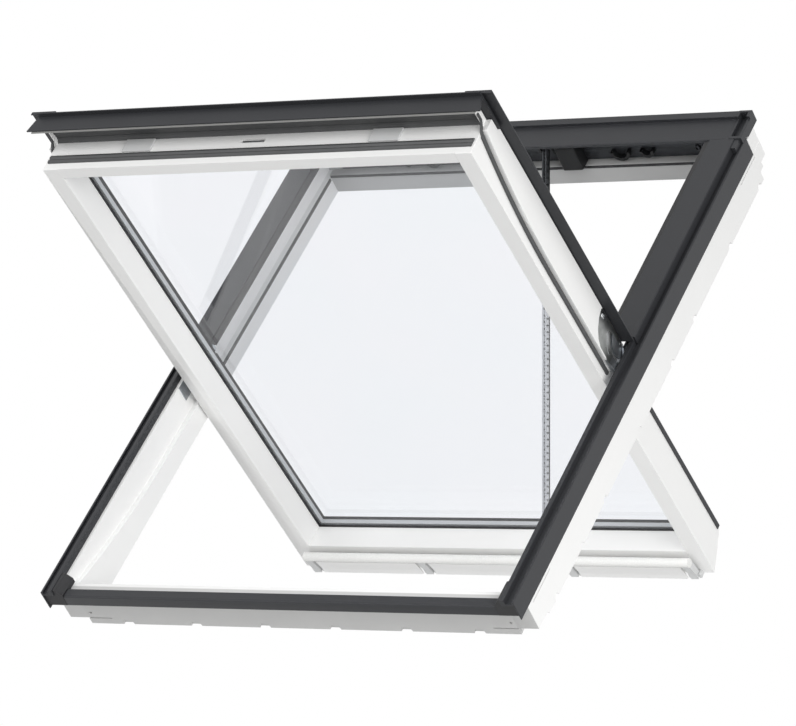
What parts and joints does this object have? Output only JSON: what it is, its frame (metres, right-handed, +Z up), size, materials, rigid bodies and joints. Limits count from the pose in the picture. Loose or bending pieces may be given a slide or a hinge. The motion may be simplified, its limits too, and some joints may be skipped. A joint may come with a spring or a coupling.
{
  "type": "centre-pivot roof window",
  "caption": "Openable roof skylight: white frame and pivoting glazed sash with grey metal covers, a control bar and a chain opener, set open on a slope",
  "frame": {"origin": "centre of the outer face of the frame's bottom rail, the face that looks down the roof", "axes": "+X across the window to the right as seen from outside below, +Y level into the roof, +Z up; the window lies on a 45 degree slope that rises along +Y"},
  "size_m": [0.784, 0.7899, 0.7419],
  "materials": {
    "pu_white": "satin",
    "cover_grey": "satin",
    "rubber_dark": "matte",
    "rubber_pale": "matte",
    "clear_glass": "polished",
    "spacer_metal": "satin",
    "zinc_steel": "satin",
    "dark_plastic": "matte",
    "bar_metal": "satin"
  },
  "bodies": {
    "frame": {"frame_stile_left": "pu_white", "frame_stile_right": "pu_white", "frame_rail_bottom": "pu_white", "frame_rail_top": "pu_white", "bottom_cover": "cover_grey", "side_cover_left": "cover_grey", "side_cover_right": "cover_grey", "upper_cover_left": "cover_grey", "upper_cover_right": "cover_grey", "upper_lip_left": "rubber_dark", "upper_lip_right": "rubber_dark", "head_casing": "cover_grey", "casing_cap_left": "cover_grey", "casing_cap_right": "cover_grey", "corner_seal_left": "rubber_dark", "corner_seal_right": "rubber_dark", "frame_gasket_left": "rubber_dark", "frame_gasket_right": "rubber_dark", "head_gasket": "rubber_dark", "lock_plate": "zinc_steel", "lock_keeps": "dark_plastic", "chain_motor": "dark_plastic", "exit_bracket": "dark_plastic", "hinge_anchor_left": "zinc_steel", "hinge_anchor_right": "zinc_steel"},
    "sash": {"sash_stile_left": "pu_white", "sash_stile_right": "pu_white", "sash_rail_bottom": "pu_white", "sash_rail_top": "pu_white", "inner_pane": "clear_glass", "outer_pane": "clear_glass", "spacer_bar": "spacer_metal", "pane_seal": "rubber_dark", "glazing_gasket": "rubber_dark", "drip_seal": "rubber_pale", "sash_bottom_cover": "cover_grey", "sash_cover_left": "cover_grey", "sash_cover_right": "cover_grey", "edge_cover_left": "cover_grey", "edge_cover_right": "cover_grey", "head_edge_cover": "cover_grey", "sash_gasket_left": "rubber_dark", "sash_gasket_right": "rubber_dark", "lower_gasket": "rubber_dark", "upper_gasket": "rubber_dark", "hinge_plate_left": "zinc_steel", "hinge_plate_right": "zinc_steel", "rail_clips": "pu_white", "chain_bracket": "zinc_steel", "bar_lugs": "pu_white"},
    "bar": {"control_bar": "bar_metal", "bar_arms": "pu_white", "bar_flap": "pu_white"},
    "chain": {"drive_chain": "zinc_steel", "chain_guide": "dark_plastic"}
  },
  "joints": [
    {"name": "sash_pivot", "type": "hinge", "parent": "frame", "child": "sash", "pos_m": [0, 0.28921, 0.37406], "axis": [1, 0, 0], "range_deg": [0, 85.44]},
    {"name": "control_bar", "type": "hinge", "parent": "sash", "child": "bar", "pos_m": [0, 0.56734, 0.04057], "axis": [1, 0, 0], "range_deg": [0, 40]},
    {"name": "chain_swivel", "type": "hinge", "parent": "frame", "child": "chain", "pos_m": [0.053, 0.60425, 0.67618], "axis": [1, 0, 0], "range_deg": [0, 42.72], "deforming": ["drive_chain"]}
  ],
  "couplings": [
    {"joint": "chain_swivel", "follows": "sash_pivot", "ratio": 0.5}
  ]
}
